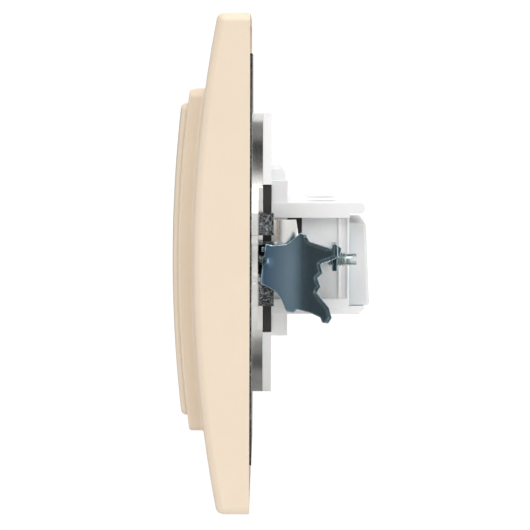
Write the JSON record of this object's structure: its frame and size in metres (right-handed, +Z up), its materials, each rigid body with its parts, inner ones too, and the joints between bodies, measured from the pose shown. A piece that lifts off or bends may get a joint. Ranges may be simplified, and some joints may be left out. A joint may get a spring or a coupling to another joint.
{
  "type": "duplex wall outlet",
  "caption": "Square flush-mounted outlet with stacked receptacles for round-pin plugs: frame, crowned cover, safety shutters, steel yoke and spreading claws.",
  "frame": {"origin": "centre of the flush-box screw slots, on the device's axis, in the rear face of the steel yoke", "axes": "+Y into the wall box, away from the room; +Z up; +X to the right as seen from the room"},
  "size_m": [0.085, 0.0348, 0.085],
  "materials": {
    "cream_plastic": "smooth satin thermoplastic, cream",
    "white_plastic": "fine matt white thermoplastic",
    "dark_plastic": "matt dark grey-brown heat-resistant moulding",
    "clear_white_plastic": "slightly translucent natural thermoplastic",
    "plated_steel": "bright nickel-plated pressed steel",
    "blue_zinc_steel": "blue-passivated zinc on spring steel",
    "zinc_screw": "bright zinc-plated steel",
    "brass": "mill-finish brass strip and bar",
    "spring_steel": "drawn spring steel"
  },
  "bodies": {
    "device": {"frame": "cream_plastic", "cover": "cream_plastic", "cover_screw": "zinc_screw", "centre_insert": "brass", "yoke": "plated_steel", "base": "white_plastic", "base_rivets": "plated_steel", "contact_cover": "white_plastic", "contact_housing": "dark_plastic", "shutter_retainer": "white_plastic", "shutter_spring_upper": "spring_steel", "shutter_spring_lower": "spring_steel", "front_screws": "zinc_screw", "line_contact": "brass", "neutral_contact": "brass", "clip_springs": "spring_steel", "line_terminal": "brass", "neutral_terminal": "brass", "terminal_cover": "clear_white_plastic", "claw_pins": "zinc_screw"},
    "shutter_upper": {"shutter_upper": "cream_plastic"},
    "shutter_lower": {"shutter_lower": "cream_plastic"},
    "claw_right": {"claw_right": "blue_zinc_steel"},
    "claw_left": {"claw_left": "blue_zinc_steel"},
    "claw_screw_right": {"claw_screw_right": "zinc_screw"},
    "claw_screw_left": {"claw_screw_left": "zinc_screw"},
    "terminal_screw_line_upper": {"terminal_screw_line_upper": "zinc_screw"},
    "terminal_screw_line_lower": {"terminal_screw_line_lower": "zinc_screw"},
    "terminal_screw_neutral_upper": {"terminal_screw_neutral_upper": "zinc_screw"},
    "terminal_screw_neutral_lower": {"terminal_screw_neutral_lower": "zinc_screw"}
  },
  "joints": [
    {"name": "shutter_upper_slide", "type": "slide", "parent": "device", "child": "shutter_upper", "axis": [0, 0, 1], "range_m": [0, 0.0056], "stiffness_N_per_m": 120, "springref_m": -0.004, "deforming": ["shutter_spring_upper"]},
    {"name": "shutter_lower_slide", "type": "slide", "parent": "device", "child": "shutter_lower", "axis": [0, 0, -1], "range_m": [0, 0.0056], "stiffness_N_per_m": 120, "springref_m": -0.004, "deforming": ["shutter_spring_lower"]},
    {"name": "claw_screw_right_turn", "type": "hinge", "parent": "device", "child": "claw_screw_right", "pos_m": [0.0235, 0, 0], "axis": [0, 1, 0], "range_deg": [0, 360]},
    {"name": "claw_right_swing", "type": "hinge", "parent": "device", "child": "claw_right", "pos_m": [0.0236, 0.0029, 0], "axis": [0, 0, -1], "range_deg": [0, 12]},
    {"name": "claw_screw_left_turn", "type": "hinge", "parent": "device", "child": "claw_screw_left", "pos_m": [-0.0235, 0, 0], "axis": [0, 1, 0], "range_deg": [0, 360]},
    {"name": "claw_left_swing", "type": "hinge", "parent": "device", "child": "claw_left", "pos_m": [-0.0236, 0.0029, 0], "axis": [0, 0, 1], "range_deg": [0, 12]},
    {"name": "terminal_screw_line_upper_tighten", "type": "slide", "parent": "device", "child": "terminal_screw_line_upper", "axis": [0, 0, -1], "range_m": [0, 0.0015]},
    {"name": "terminal_screw_line_lower_tighten", "type": "slide", "parent": "device", "child": "terminal_screw_line_lower", "axis": [0, 0, 1], "range_m": [0, 0.0015]},
    {"name": "terminal_screw_neutral_upper_tighten", "type": "slide", "parent": "device", "child": "terminal_screw_neutral_upper", "axis": [0, 0, -1], "range_m": [0, 0.0015]},
    {"name": "terminal_screw_neutral_lower_tighten", "type": "slide", "parent": "device", "child": "terminal_screw_neutral_lower", "axis": [0, 0, 1], "range_m": [0, 0.0015]}
  ],
  "couplings": [
    {"joint": "claw_right_swing", "follows": "claw_screw_right_turn", "ratio": 0.033333},
    {"joint": "claw_left_swing", "follows": "claw_screw_left_turn", "ratio": 0.033333}
  ]
}
